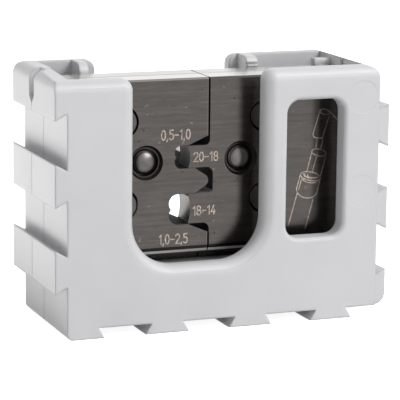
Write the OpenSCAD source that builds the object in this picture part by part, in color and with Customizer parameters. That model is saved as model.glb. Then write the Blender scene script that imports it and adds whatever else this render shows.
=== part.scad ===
// Crimping die pair for open plug connectors, kept in its interlocking plastic holder.
// Millimetres. The origin is the middle of the footprint on the standing face, and the front faces -Y.
// Places inside the modules are measured from the holder's lower left front corner, at the tongue roots.

/* [Die plates] */
// Width of the nest die, from its outer end to the split
nest_die_w = 33.1; // [28:0.1:40]
// Width of the anvil die, from the split to its outer end
anvil_die_w = 35.5; // [34:0.1:48]
// Thickness of the front plate of each die
front_t = 6.7; // [4:0.1:9]
// Thickness of the rear plate of each die
rear_t = 6.2; // [4:0.1:10]
// Height of the front plates
plate_h = 40.4; // [37:0.1:46]
// How far the rear plates reach down below the front plates
foot_drop = 2.6; // [1.5:0.1:8]
// Bevel along the upper front edge
top_bevel = 0.4; // [0.2:0.05:1.2]
// Bevel along the lower front edge
low_bevel = 1.1; // [0.3:0.05:1.5]
// Radius of the outer end corners of the plates
end_r = 1.2; // [0.5:0.1:2.5]
// Gap between the closed dies at the split
split_gap = 0.3; // [0.2:0.05:0.6]

/* [Nests and punches] */
// Height of the upper nest, for the thin wires
up_h = 5.3; // [4.4:0.1:6]
// Height of the lower nest, for the thick wires
lo_h = 7; // [6:0.1:7.6]
// Height of the upper nest's middle above the front plates' lower edge
up_z = 22.4; // [20.6:0.1:23]
// Distance between the middles of the two nests
nest_pitch = 12; // [11.4:0.1:13]
// Depth of the upper nest's floor, from the split
up_floor = 8.3; // [7.4:0.1:9.6]
// Depth of the lower nest's floor, from the split
lo_floor = 9.6; // [8:0.1:11]
// How far the punch tips reach past the split
punch_reach = 5; // [4:0.1:5.6]
// Depth of the hollow in each punch tip
tip_hollow = 0.5; // [0.2:0.05:0.8]
// Clearance between a punch and the sides of its nest
punch_clear = 0.1; // [0.05:0.01:0.2]
// How far the upper punch of the rear plate stands back behind the front one
up_back = 0.8; // [0.5:0.1:3.6]
// How far the lower punch of the rear plate stands back behind the front one
lo_back = 3.2; // [0.5:0.1:3.6]
// How much shallower the nests of the rear plate are
rear_floor = 0.6; // [0.2:0.1:1.2]
// Radius of the lobes on a nest's floor, as a share of the nest's height
lobe_share = 0.3; // [0.2:0.01:0.45]
// Rise of the slanted flare from a nest to the split
flare = 2.1; // [1:0.1:3]
// Half height of the finger tip between the nests
finger_r = 1.5; // [0.8:0.05:1.8]
// Angle of the tapered sides of the finger, from the vertical
finger_angle = 24; // [15:1:35]
// Length of the straight part at the finger's root
finger_root = 1.6; // [0.6:0.1:2.4]
// Room in front of the finger tip
finger_room = 1; // [0.5:0.1:1.6]
// Radius of the upper inner corner of the finger's pocket
pocket_top_r = 1.6; // [0.4:0.1:1.8]
// Radius of the lower inner corner of the finger's pocket
pocket_low_r = 0.9; // [0.4:0.1:1.6]
// Radius of the fillet above the upper punch
up_fillet = 1; // [0.3:0.1:1.8]
// Radius of the fillet below the lower punch
lo_fillet = 1.5; // [0.3:0.1:1.8]

/* [Studs and dowels] */
// Offset of the middle between the dowels of the two dies from the split
axis_off = 3.5; // [2.5:0.1:4.5]
// Offset of the middle between the two studs from the split
stud_off = 3.65; // [3:0.05:4.2]
// Distance between the lock studs of the two dies
stud_span = 22.9; // [22:0.1:26]
// Height of the studs above the front plates' lower edge
stud_z = 21.5; // [19:0.1:22.5]
// Diameter of the lock studs
stud_d = 5.8; // [4:0.1:6.4]
// Height of the stud's dome
dome_h = 1.2; // [0.6:0.05:1.6]
// Diameter of the countersink round a stud, at the face
sink_d = 8; // [7.4:0.1:9]
// Depth of the slanted part of the countersink
sink_depth = 0.9; // [0.4:0.05:1.1]
// Width of the slanted part of the countersink
sink_slant = 0.5; // [0.2:0.05:0.6]
// Width of the step between the slanted part and the recess round the stud
sink_step = 0.3; // [0.1:0.05:0.4]
// Depth of the recess round the stud, below the foot of the dome
recess = 0.5; // [0.2:0.05:1]
// Distance between the dowels of the two dies
pin_span = 34.2; // [31:0.1:37]
// Height between the upper and the lower dowel of a die
pin_pitch = 18.9; // [17:0.1:24]
// Diameter of the dowels
pin_d = 7; // [4:0.1:7.4]
// Bevel round both ends of a dowel
pin_bevel = 0.35; // [0.1:0.05:0.6]
// Bevel round the mouth of a dowel's bore
bore_bevel = 0.2; // [0.1:0.05:0.4]
// Radial clearance of the studs and dowels in their bores
pin_fit = 0.02; // [0.01:0.005:0.04]

/* [Holder] */
// Thickness of the front wall
front_wall = 4.2; // [3:0.1:5]
// Thickness of the rear wall
rear_wall = 2.8; // [2.2:0.1:4]
// Thickness of the side walls of the front shell, at the grooves
side_wall = 1.5; // [1.2:0.1:3]
// Extra thickness of the side walls of the rear shell
side_step = 0.5; // [0.2:0.1:1]
// Height of the shelf that the dies stand on, above the tongue roots
shelf_h = 10.7; // [9:0.1:16]
// Thickness of the shelf
shelf_t = 2.4; // [1.6:0.1:3.5]
// Thickness of the bottom
bottom_t = 2.2; // [2:0.1:3.5]
// How far the holder stands up above the dies
top_rise = 2.3; // [1.2:0.1:4]
// How much lower the front wall is beside the nest die
left_drop = 0.8; // [0.1:0.1:1]
// Room in front of the dies, up to the front wall
front_room = 5.1; // [3:0.1:7]
// Room behind the dies, up to the rear wall
rear_room = 7.5; // [5:0.1:16]
// How far the seam of the two shells lies behind the front face
seam_y = 17.6; // [13:0.1:20]
// Radius of the upper edges of the holder
top_r = 2.6; // [1:0.1:2.7]
// Radius of the corners of the outline
corner_r = 2.7; // [1:0.1:3.4]
// Thickness of the webs that carry the shelf
web_t = 1.8; // [1:0.1:3]
// Diameter of the pegs that line up the two shells
peg_d = 2; // [1.2:0.1:2.4]
// Length of the pegs
peg_l = 5; // [3:0.1:8]
// Radial clearance of the pegs
peg_fit = 0.05; // [0.02:0.01:0.1]

/* [Room for the dies] */
// Clearance between the dies and the ribs in front of them and behind them
face_clear = 0.3; // [0.3:0.05:0.8]
// Room between the anvil die and the right wall of the rear shell
end_clear = 0.45; // [0.3:0.05:1]
// Room between the nest die and the left wall of the rear shell, which is its end play
end_play = 1.35; // [0.8:0.05:3]

/* [Rails] */
// Vertical pitch of the side tongues
side_pitch = 19.3; // [18:0.1:22]
// Height of the middle left tongue's centre above the tongue roots
side_mid_z = 32.4; // [31:0.1:34]
// Outer width of a side tongue
side_tongue_w = 9.8; // [8:0.1:10.4]
// How far the side tongues stand out
side_tongue_h = 2.8; // [2:0.1:4]
// Undercut of each flank of a tongue
flank = 1.5; // [0.6:0.1:2]
// How far the right tongues stand back from the front face
tongue_back = 0.8; // [0.3:0.1:2]
// Pitch of the bottom tongues
bottom_pitch = 20; // [18:0.1:24]
// Distance of the first bottom tongue's centre from the left face
bottom_first = 3.5; // [3:0.1:5]
// Outer width of a bottom tongue
bottom_tongue_w = 10.3; // [8:0.1:12]
// How far the bottom tongues stand out
bottom_tongue_h = 2.4; // [1.6:0.1:4]

/* [Cut-outs] */
// Width of the front cut-out
u_w = 31.1; // [28:0.1:34]
// How far the middle of the front cut-out lies left of the middle between the dowels
u_off = 1.85; // [0:0.05:3]
// Radius of the lower corners of the front cut-out
u_r = 10; // [4:0.1:13]
// Height of the lip that the front cut-out leaves above the shelf
lip_h = 2; // [1:0.1:3.5]
// Radius of the rounded front rim of the cut-out
u_rim = 2.6; // [0.6:0.1:2.9]
// Radius of the upper corners beside the front cut-out
u_top_r = 2.6; // [1:0.1:3]
// Width of the cut-out in the rear wall
rear_u_w = 33.3; // [28:0.1:36]
// How far the middle of the rear cut-out lies left of the middle between the dowels
rear_u_off = 0.5; // [0:0.05:3]
// Radius of the upper corners beside the rear cut-out
rear_u_top_r = 2.5; // [1:0.1:4]
// Width of the window
window_w = 14; // [8:0.1:15]
// Height of the window
window_h = 31.8; // [20:0.1:34]
// Radius of the window's corners
window_r = 3.1; // [1:0.1:4]
// Radius of the rounded front rim of the window
window_rim = 1; // [0.3:0.1:1.6]
// Distance of the window from the right grooved face
window_side = 8.6; // [7:0.1:10]
// Height of the window's lower edge above the shelf
window_low = 6.4; // [4:0.1:7.5]
// Width of the slot round the upper left corner
slot_w = 3.6; // [2:0.1:5]
// Depth of that slot
slot_d = 2.2; // [0.8:0.1:2.3]
// Length of that slot, from the upper edge down to its point
slot_l = 7.6; // [5:0.1:9]

/* [Ribs in front of the dies] */
// Width of the ribs on the front wall
front_rib_w = 2; // [1.2:0.1:3]
// Distance of these ribs from the cut-out and from the window
front_rib_gap = 2.4; // [1.5:0.1:2.8]
// Distance of the outer left one from the left wall
front_rib_end = 3; // [2:0.1:5]
// Distance of their tips from the upper edge
front_rib_low = 4; // [3:0.1:6]
// Height of their slanted lead-in
front_lead_h = 4; // [2:0.1:8]

/* [Ribs behind the dies] */
// Width of the left rib
rib_w = 2.2; // [1.2:0.1:4]
// Width of the rib with the snap grooves
snap_rib_w = 2.7; // [2:0.1:4]
// Distance of the left rib from the edge of the rear cut-out
rib_gap = 3.4; // [2:0.1:5]
// Distance of the snap rib from the edge of the rear cut-out
snap_gap = 2.2; // [1:0.1:5]
// How far the upper part of the ribs stands back behind their lower part
rib_step = 0.9; // [0.5:0.1:3]
// Height of the ribs' slanted lead-in
lead_h = 1.2; // [0.8:0.1:6]
// Distance of the lead-in from the upper edge
lead_top = 2.6; // [2.6:0.1:6]
// Width of the guide tab in the right corner
tab_w = 4.1; // [2:0.1:6]
// Thickness of the guide tab
tab_t = 2; // [1:0.1:3]
// Distance of the guide tab's end from the upper edge
tab_low = 1.1; // [0.4:0.1:4]
// Height and pitch of the snap grooves
snap_h = 0.5; // [0.3:0.05:0.8]
// Distance of the first snap groove from the upper edge
snap_low = 1.4; // [1:0.1:3]
// Depth of the snap grooves
snap_depth = 0.8; // [0.4:0.1:1.5]
// Radius of the ribs' upper front corner
rib_r = 2.5; // [1:0.1:2.5]

/* [Hidden] */
$fn = 64;
eps = 0.01;
over = 1;
far = 200;
cavity_w = end_play + nest_die_w + split_gap + anvil_die_w + end_clear;
body_w = cavity_w + 2 * (side_wall + side_step);
die_t = front_t + rear_t;
die_y = front_wall + front_room;
die_back_y = die_y + die_t;
body_d = die_back_y + rear_room + rear_wall;
plate_z = shelf_h + foot_drop;
die_top_z = plate_z + plate_h;
body_h = die_top_z + top_rise;
split_x = side_wall + side_step + end_play + nest_die_w + split_gap / 2;
axis_x = split_x - axis_off;
side_out = side_wall + side_tongue_h;
lo_z = up_z - nest_pitch;
u_left = axis_x - u_off - u_w / 2;
u_bottom = shelf_h + lip_h;
window_x = body_w - window_side - window_w;
window_z = shelf_h + window_low;
rear_inner_y = body_d - rear_wall;
rear_u_left = axis_x - rear_u_off - rear_u_w / 2;
rib_top_y = die_back_y + face_clear + rib_step;
slot_point = slot_w / 2;
plastic = [0.83, 0.83, 0.84];
plastic_rear = [0.80, 0.80, 0.80];
steel = [0.36, 0.34, 0.33];
steel_rear = [0.30, 0.29, 0.28];
pin_steel = [0.42, 0.40, 0.39];

// Extrudes a shape drawn in X and Z along Y
module along_y(y0, y1) {
    translate([0, y1, 0])
        rotate([90, 0, 0])
            linear_extrude(height = y1 - y0)
                children();
}

// Extrudes a shape drawn in Y and Z along X
module along_x(x0, x1) {
    translate([x0, 0, 0])
        rotate([90, 0, 90])
            linear_extrude(height = x1 - x0)
                children();
}

// The bit that a rounded corner leaves out or a fillet fills, with the corner at the origin
module corner_bit(r) {
    difference() {
        translate([-eps, -eps])
            square(r + eps);
        translate([r, r])
            circle(r);
    }
}

module round_square(w, h, r) {
    translate([r, 0])
        square([w - 2 * r, h]);
    translate([0, r])
        square([w, h - 2 * r]);
    for (x = [r, w - r], z = [r, h - r])
        translate([x, z])
            circle(r);
}

// Dies

// A nest: a channel that opens at the split, with two lobes and a cusp on its floor
module nest_cut(floor_x, h) {
    r = h * lobe_share;
    for (s = [-1, 1])
        translate([-floor_x + r, s * (h / 2 - r)])
            circle(r);
    translate([-floor_x + r, -h / 2])
        square([floor_x, h]);
}

// The slanted flare between a nest and the split, on one side of the nest
module flare_cut(h, side) {
    polygon([
        [-punch_reach, side * h / 4],
        [-punch_reach, side * h / 2],
        [-split_gap / 2, side * (h / 2 + flare)],
        [split_gap, side * (h / 2 + flare)],
        [split_gap, side * h / 4]
    ]);
}

// The finger between the two nests, tapering to a round tip
module finger() {
    mid = (up_z - up_h / 2 + lo_z + lo_h / 2) / 2;
    half = (nest_pitch - up_h / 2 - lo_h / 2) / 2;
    tip_x = -split_gap / 2 - finger_r;
    side_x = tip_x + finger_r * sin(finger_angle);
    side_z = finger_r * cos(finger_angle);
    union() {
        translate([tip_x, mid])
            circle(finger_r);
        polygon([
            [-punch_reach - over, mid - half],
            [-punch_reach - over, mid + half],
            [-punch_reach + finger_root, mid + half],
            [side_x, mid + side_z],
            [side_x, mid - side_z],
            [-punch_reach + finger_root, mid - half]
        ]);
    }
}

// The space that opens at the split of the nest die, with the finger left standing in it
module nest_space(floor_more) {
    difference() {
        union() {
            translate([0, up_z])
                nest_cut(up_floor - floor_more, up_h);
            translate([0, lo_z])
                nest_cut(lo_floor - floor_more, lo_h);
            translate([0, up_z])
                flare_cut(up_h, 1);
            translate([0, lo_z])
                flare_cut(lo_h, -1);
            translate([-punch_reach, lo_z])
                square([punch_reach + split_gap, nest_pitch]);
        }
        finger();
    }
}

module nest_profile(drop, floor_more) {
    difference() {
        translate([-split_gap / 2 - nest_die_w, -drop])
            square([nest_die_w, plate_h + drop]);
        translate([-split_gap / 2 - nest_die_w, -drop])
            corner_bit(end_r);
        translate([-split_gap / 2 - nest_die_w, plate_h])
            mirror([0, 1])
                corner_bit(end_r);
        nest_space(floor_more);
    }
}

// A punch with a hollow tip, which enters its nest with a small clearance
module punch(reach, h) {
    w = h - 2 * punch_clear;
    r = (w * w / 4 + tip_hollow * tip_hollow) / (2 * tip_hollow);
    difference() {
        translate([-reach, -w / 2])
            square([reach + split_gap, w]);
        translate([-reach - r + tip_hollow, 0])
            circle(r, $fn = 160);
    }
}

module anvil_profile(drop, top_back, low_back) {
    difference() {
        union() {
            translate([split_gap / 2, -drop])
                square([anvil_die_w, plate_h + drop]);
            translate([0, up_z])
                punch(punch_reach - top_back, up_h);
            translate([0, lo_z])
                punch(punch_reach - low_back, lo_h);
            translate([split_gap / 2, up_z + up_h / 2 - punch_clear])
                mirror([1, 0])
                    corner_bit(up_fillet);
            translate([split_gap / 2, lo_z - lo_h / 2 + punch_clear])
                rotate(180)
                    corner_bit(lo_fillet);
        }
        translate([split_gap / 2 + anvil_die_w, -drop])
            mirror([1, 0])
                corner_bit(end_r);
        translate([split_gap / 2 + anvil_die_w, plate_h])
            rotate(180)
                corner_bit(end_r);
        finger_pocket();
    }
}

// The pocket between the two punches, which takes the finger
module finger_pocket() {
    low = lo_z + lo_h / 2 - punch_clear;
    high = up_z - up_h / 2 + punch_clear;
    difference() {
        translate([-punch_reach - over, low])
            square([punch_reach + over + finger_room, high - low]);
        translate([finger_room, low])
            mirror([1, 0])
                corner_bit(pocket_low_r);
        translate([finger_room, high])
            rotate(180)
                corner_bit(pocket_top_r);
    }
}

// Places a die shape on the split line, at the height of the front plates
module at_split(y) {
    translate([split_x, y, plate_z])
        children();
}

// The bevels along the upper and the lower front edge of a plate
module front_bevels(x0, w) {
    for (m = [0, 1]) {
        b = m == 0 ? low_bevel : top_bevel;
        translate([x0 - over, 0, m * plate_h])
            mirror([0, 0, m])
                along_x(0, w + 2 * over)
                    polygon([[-over, -over], [b + over, -over], [-over, b + over]]);
    }
}

module bore(d, l) {
    rotate([-90, 0, 0])
        cylinder(d = d, h = l);
}

// The bores of a die, with the stepped countersink round the stud
module die_bores(side) {
    stud_x = -stud_off + side * stud_span / 2;
    pin_x = -axis_off + side * pin_span / 2;
    translate([stud_x, -over, stud_z])
        bore(stud_d + 2 * pin_fit, die_t + 2 * over);
    translate([stud_x, 0, stud_z])
        rotate([-90, 0, 0])
            cylinder(d1 = sink_d, d2 = sink_d - 2 * sink_slant, h = sink_depth);
    translate([stud_x, sink_depth, stud_z])
        bore(sink_d - 2 * sink_slant - 2 * sink_step, dome_h + recess - sink_depth);
    for (m = [-1, 1])
        translate([pin_x, 0, stud_z + m * pin_pitch / 2])
            pin_bore();
}

// A dowel's bore, with a bevel at both mouths
module pin_bore() {
    d = pin_d + 2 * pin_fit;
    translate([0, -over, 0])
        bore(d, die_t + 2 * over);
    for (m = [0, 1])
        translate([0, m * die_t, 0])
            mirror([0, m, 0])
                rotate([-90, 0, 0])
                    cylinder(d1 = d + 2 * bore_bevel, d2 = d, h = bore_bevel);
}

// A dowel with bevelled ends
module dowel() {
    translate([0, pin_bevel, 0])
        bore(pin_d, die_t - 2 * pin_bevel);
    for (m = [0, 1])
        translate([0, m * die_t, 0])
            mirror([0, m, 0])
                rotate([-90, 0, 0])
                    cylinder(d1 = pin_d - 2 * pin_bevel, d2 = pin_d, h = pin_bevel);
}

module nest_front_plate() {
    color(steel)
        at_split(die_y)
            difference() {
                along_y(0, front_t)
                    nest_profile(0, 0);
                front_bevels(-split_gap / 2 - nest_die_w, nest_die_w);
                die_bores(-1);
            }
}

module nest_rear_plate() {
    color(steel_rear)
        at_split(die_y)
            difference() {
                along_y(front_t, die_t)
                    nest_profile(foot_drop, rear_floor);
                die_bores(-1);
            }
}

module anvil_front_plate() {
    color(steel)
        at_split(die_y)
            difference() {
                along_y(0, front_t)
                    anvil_profile(0, 0, 0);
                front_bevels(split_gap / 2, anvil_die_w);
                die_bores(1);
            }
}

module anvil_rear_plate() {
    color(steel_rear)
        at_split(die_y)
            difference() {
                along_y(front_t, die_t)
                    anvil_profile(foot_drop, up_back, lo_back);
                die_bores(1);
            }
}

module dowel_pins(side) {
    color(pin_steel)
        at_split(die_y)
            for (m = [-1, 1])
                translate([-axis_off + side * pin_span / 2, 0, stud_z + m * pin_pitch / 2])
                    dowel();
}

// A stud with a domed head that ends level with the die's face
module lock_stud(side) {
    r = (stud_d * stud_d / 4 + dome_h * dome_h) / (2 * dome_h);
    color(pin_steel)
        at_split(die_y)
            translate([-stud_off + side * stud_span / 2, 0, stud_z]) {
                intersection() {
                    bore(stud_d, dome_h + over);
                    translate([0, r, 0])
                        sphere(r, $fn = 120);
                }
                translate([0, dome_h, 0])
                    bore(stud_d, die_t - dome_h);
            }
}

module nest_dowel_pins() {
    dowel_pins(-1);
}

module nest_lock_stud() {
    lock_stud(-1);
}

module anvil_dowel_pins() {
    dowel_pins(1);
}

module anvil_lock_stud() {
    lock_stud(1);
}

// Holder

// A dovetail tongue drawn standing out along +Y from the X axis
module tongue(w, h) {
    polygon([
        [-w / 2 + flank, -eps],
        [w / 2 - flank, -eps],
        [w / 2, h],
        [-w / 2, h]
    ]);
}

module left_tongues() {
    for (k = [-1, 0])
        translate([0, side_mid_z + k * side_pitch])
            rotate(90)
                tongue(side_tongue_w, side_tongue_h);
    low = side_mid_z + side_pitch - side_tongue_w / 2;
    polygon([
        [eps, low + flank],
        [-side_tongue_h, low],
        [-side_tongue_h, body_h],
        [eps, body_h]
    ]);
}

module right_tongues() {
    intersection() {
        for (k = [-1.5, -0.5, 0.5])
            translate([body_w, side_mid_z + k * side_pitch])
                rotate(-90)
                    tongue(side_tongue_w, side_tongue_h);
        translate([body_w - over, 0])
            square([side_tongue_h + over, body_h]);
    }
}

module bottom_tongues() {
    count = floor((body_w - bottom_first - bottom_tongue_w / 2) / bottom_pitch) + 1;
    intersection() {
        for (k = [0 : count - 1])
            translate([bottom_first + k * bottom_pitch, 0])
                rotate(180)
                    tongue(bottom_tongue_w, bottom_tongue_h);
        translate([0, -bottom_tongue_h])
            square([body_w, bottom_tongue_h + over]);
    }
}

// Outline seen from the front, without the right tongues
module main_outline() {
    difference() {
        union() {
            square([body_w, body_h]);
            left_tongues();
            bottom_tongues();
        }
        translate([-side_tongue_h, body_h])
            mirror([0, 1])
                corner_bit(corner_r);
        translate([body_w, body_h])
            rotate(180)
                corner_bit(corner_r);
        translate([0, -bottom_tongue_h])
            corner_bit(corner_r / 2);
    }
}

// Outline seen from the side, with rounded upper edges and with the front wall lower by the drop
module side_outline(drop) {
    difference() {
        polygon([
            [0, -bottom_tongue_h],
            [body_d, -bottom_tongue_h],
            [body_d, body_h],
            [seam_y, body_h],
            [front_wall, body_h - drop],
            [0, body_h - drop]
        ]);
        translate([0, body_h - drop])
            mirror([0, 1])
                corner_bit(top_r);
        translate([body_d, body_h])
            rotate(180)
                corner_bit(top_r / 2);
    }
}

module holder_blank() {
    intersection() {
        along_y(0, body_d)
            main_outline();
        union() {
            along_x(-side_tongue_h - over, axis_x)
                side_outline(left_drop);
            along_x(axis_x - eps, body_w + over)
                side_outline(0);
        }
    }
    difference() {
        along_y(tongue_back, body_d)
            right_tongues();
        translate([body_w + side_tongue_h, 0, 0])
            mirror([1, 0, 0])
                along_y(-over, body_d + over)
                    corner_bit(corner_r);
    }
}

// The room for the dies, and the closed hollow below the shelf with its webs
module inner_room(x_wall, y0, y1) {
    translate([x_wall, y0, shelf_h])
        cube([body_w - 2 * x_wall, y1 - y0, body_h]);
    low_h = shelf_h - shelf_t - bottom_t;
    cell = (body_w - 2 * x_wall - 3 * web_t) / 4;
    for (k = [0 : 3])
        translate([x_wall + k * (cell + web_t), y0, bottom_t])
            cube([cell, y1 - y0, low_h]);
}

// Rounds the front edge of a straight side of an opening, which runs along Z from the origin
module rim_upright(l, r) {
    linear_extrude(height = l)
        difference() {
            translate([-r, -over])
                square([r + over, r + over]);
            translate([-r, r])
                circle(r);
        }
}

module rim_level(l, r) {
    along_x(0, l)
        difference() {
            translate([-over, -r])
                square([r + over, r + over]);
            translate([r, -r])
                circle(r);
        }
}

module rim_ring(big_r, r) {
    rotate([-90, 0, 0])
        rotate_extrude($fn = 96)
            difference() {
                translate([big_r - over, -over])
                    square([r + over, r + over]);
                translate([big_r + r, r])
                    circle(r);
            }
}

// What a round upper corner beside the front cut-out leaves out, with the corner's centre at the origin
module ear_bit() {
    difference() {
        translate([0, -over, 0])
            cube([u_top_r + over, front_wall + 2 * over, u_top_r + over]);
        rotate([-90, 0, 0])
            rotate_extrude($fn = 96)
                difference() {
                    square([u_top_r, front_wall + 2 * over]);
                    translate([u_top_r, 0])
                        mirror([1, 0])
                            corner_bit(u_rim);
                }
    }
}

// The front cut-out, open at the top, with rounded lower corners and a rounded rim
module front_cutout() {
    up = body_h - u_bottom - u_r;
    translate([u_left, 0, u_bottom]) {
        along_y(-over, front_wall + over)
            round_square(u_w, body_h, u_r);
        translate([0, 0, u_r])
            rim_upright(up - left_drop - u_top_r, u_rim);
        translate([u_w, 0, u_r])
            mirror([1, 0, 0])
                rim_upright(up - u_top_r, u_rim);
        translate([-u_top_r, 0, up + u_r - left_drop - u_top_r])
            ear_bit();
        translate([u_w + u_top_r, 0, up + u_r - u_top_r])
            mirror([1, 0, 0])
                ear_bit();
        translate([u_r, 0, 0])
            rim_level(u_w - 2 * u_r, u_rim);
        for (x = [u_r, u_w - u_r])
            translate([x, 0, u_r])
                rim_ring(u_r, u_rim);
    }
}

module window_cutout() {
    translate([window_x, 0, window_z]) {
        along_y(-over, front_wall + over)
            round_square(window_w, window_h, window_r);
        translate([0, 0, window_r])
            rim_upright(window_h - 2 * window_r, window_rim);
        translate([window_w, 0, window_r])
            mirror([1, 0, 0])
                rim_upright(window_h - 2 * window_r, window_rim);
        translate([window_r, 0, 0])
            rim_level(window_w - 2 * window_r, window_rim);
        translate([window_r, 0, window_h])
            mirror([0, 0, 1])
                rim_level(window_w - 2 * window_r, window_rim);
        for (x = [window_r, window_w - window_r], z = [window_r, window_h - window_r])
            translate([x, 0, z])
                rim_ring(window_r, window_rim);
    }
}

// The slot at the seam, which runs round the upper left corner and ends in a point below
module slot() {
    intersection() {
        along_x(-side_tongue_h - over, -side_tongue_h + corner_r)
            polygon([
                [seam_y, body_h - slot_l],
                [seam_y + slot_point, body_h - slot_l + slot_point],
                [seam_y + slot_point, body_h + over],
                [seam_y - slot_point, body_h + over],
                [seam_y - slot_point, body_h - slot_l + slot_point]
            ]);
        along_y(seam_y - slot_w, seam_y + slot_w)
            difference() {
                translate([-side_tongue_h - over, body_h - slot_l - over])
                    square([corner_r + 2 * over, slot_l + 2 * over]);
                translate([-side_tongue_h + slot_d, body_h - slot_l - 2 * over])
                    square([corner_r + 2 * over, slot_l + 2 * over - corner_r]);
                translate([-side_tongue_h + corner_r, body_h - slot_l - 2 * over])
                    square([2 * over, slot_l + 2 * over - slot_d]);
                translate([-side_tongue_h + corner_r, body_h - corner_r])
                    circle(corner_r - slot_d);
            }
    }
}

// The ribs on the front wall, which keep the dies upright and lead them in from above
module front_ribs() {
    places = [
        side_wall + front_rib_end,
        u_left - front_rib_gap - front_rib_w,
        u_left + u_w + front_rib_gap,
        window_x + window_w + front_rib_gap
    ];
    front = die_y - face_clear;
    top = body_h - front_rib_low;
    for (x = places)
        along_x(x, x + front_rib_w)
            polygon([
                [front_wall - eps, shelf_h - eps],
                [front, shelf_h - eps],
                [front, top - front_lead_h],
                [front_wall, top],
                [front_wall - eps, top]
            ]);
}

// Places of the pegs across the seam: in the side walls and in the bottom
function peg_places() = [
    for (k = [-1, 0]) [(side_wall - side_tongue_h) / 2, side_mid_z + k * side_pitch],
    for (k = [-0.5, 0.5]) [body_w - (side_wall - side_tongue_h) / 2, side_mid_z + k * side_pitch],
    for (k = [1, 3]) [bottom_first + k * bottom_pitch, (bottom_t - bottom_tongue_h) / 2]
];

module at_pegs() {
    for (p = peg_places())
        translate([p[0], seam_y, p[1]])
            children();
}

// Puts the holder's corner frame on the standing face, centred
module on_base() {
    translate([-body_w / 2, -body_d / 2, bottom_tongue_h])
        children();
}

module holder_front_shell() {
    color(plastic) {
        difference() {
            intersection() {
                holder_blank();
                translate([-far / 2, -over, -far / 2])
                    cube([2 * far, seam_y + over, 2 * far]);
            }
            inner_room(side_wall, front_wall, seam_y + over);
            front_cutout();
            window_cutout();
            slot();
            at_pegs()
                rotate([90, 0, 0])
                    translate([0, 0, -over])
                        cylinder(d = peg_d + 2 * peg_fit, h = peg_l + over + face_clear, $fn = 32);
        }
        front_ribs();
    }
}

// The rear cut-out, open at the top, with rounded shoulders beside it
module rear_cutout() {
    along_y(rear_inner_y - over, body_d + over)
        translate([rear_u_left, u_bottom]) {
            round_square(rear_u_w, body_h, u_r);
            for (m = [0, 1])
                translate([m * rear_u_w, body_h - u_bottom])
                    mirror([1 - m, 0])
                        rotate(-90)
                            corner_bit(rear_u_top_r);
        }
}

// A rib that stands out from the rear wall and leads the dies in from above
module rib(x, w) {
    low_front = die_back_y + face_clear;
    along_x(x, x + w)
        difference() {
            polygon([
                [rear_inner_y + eps, shelf_h - eps],
                [low_front, shelf_h - eps],
                [low_front, body_h - lead_top - lead_h],
                [rib_top_y, body_h - lead_top],
                [rib_top_y, body_h],
                [rear_inner_y + eps, body_h]
            ]);
            translate([rib_top_y, body_h])
                mirror([0, 1])
                    corner_bit(rib_r);
        }
}

module ribs() {
    left_x = rear_u_left - rib_gap - rib_w;
    snap_x = rear_u_left + rear_u_w + snap_gap;
    rib(left_x, rib_w);
    difference() {
        rib(snap_x, snap_rib_w);
        for (k = [0, 1])
            translate([snap_x - over, rib_top_y - over, body_h - snap_low - snap_h * (1 + 2 * k)])
                cube([snap_rib_w + 2 * over, over + snap_depth, snap_h]);
    }
    translate([body_w - side_wall - side_step - tab_w, rib_top_y, shelf_h - eps])
        cube([tab_w + eps, tab_t, body_h - tab_low - shelf_h]);
}

module holder_rear_shell() {
    color(plastic_rear) {
        difference() {
            intersection() {
                holder_blank();
                translate([-far / 2, seam_y, -far / 2])
                    cube([2 * far, far, 2 * far]);
            }
            inner_room(side_wall + side_step, seam_y - over, rear_inner_y);
            rear_cutout();
            slot();
        }
        ribs();
        at_pegs()
            translate([0, eps, 0])
                rotate([90, 0, 0])
                    cylinder(d = peg_d, h = peg_l, $fn = 32);
    }
}

on_base() holder_front_shell();
on_base() holder_rear_shell();
on_base() nest_front_plate();
on_base() nest_rear_plate();
on_base() nest_dowel_pins();
on_base() nest_lock_stud();
on_base() anvil_front_plate();
on_base() anvil_rear_plate();
on_base() anvil_dowel_pins();
on_base() anvil_lock_stud();
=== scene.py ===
"""Looks of the crimping die pair in its holder: materials, size marks, line drawing, lights and camera."""
import math

import bmesh
import bpy
from mathutils import Matrix, Vector

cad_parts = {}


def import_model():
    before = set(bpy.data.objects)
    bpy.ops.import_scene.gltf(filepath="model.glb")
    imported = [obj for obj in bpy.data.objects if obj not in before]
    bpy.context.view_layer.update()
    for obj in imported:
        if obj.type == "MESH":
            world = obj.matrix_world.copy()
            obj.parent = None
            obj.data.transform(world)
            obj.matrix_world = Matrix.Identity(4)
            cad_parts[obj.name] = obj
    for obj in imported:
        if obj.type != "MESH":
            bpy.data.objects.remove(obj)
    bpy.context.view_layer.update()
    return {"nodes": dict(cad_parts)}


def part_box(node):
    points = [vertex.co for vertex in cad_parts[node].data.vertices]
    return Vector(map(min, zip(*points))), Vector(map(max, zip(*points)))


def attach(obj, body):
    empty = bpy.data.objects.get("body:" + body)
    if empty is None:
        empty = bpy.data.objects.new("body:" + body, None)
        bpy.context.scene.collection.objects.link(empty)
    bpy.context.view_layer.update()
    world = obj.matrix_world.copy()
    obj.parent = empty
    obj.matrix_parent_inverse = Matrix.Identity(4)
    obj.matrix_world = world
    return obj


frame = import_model()
nodes = frame["nodes"]
MM = 0.001

# Places taken from the frame, in metres
HOLDER_LOW, HOLDER_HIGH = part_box("holder_front_shell")
NEST_LOW, NEST_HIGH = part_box("nest_front_plate")
SEAM_Y = HOLDER_HIGH.y
FACE_Y = NEST_LOW.y
SPLIT_Y = NEST_HIGH.y
DIE_TOP = NEST_HIGH.z
DIE_LOW = NEST_LOW.z
DIE_LEFT = NEST_LOW.x
DIE_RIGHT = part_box("anvil_front_plate")[1].x

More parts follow.
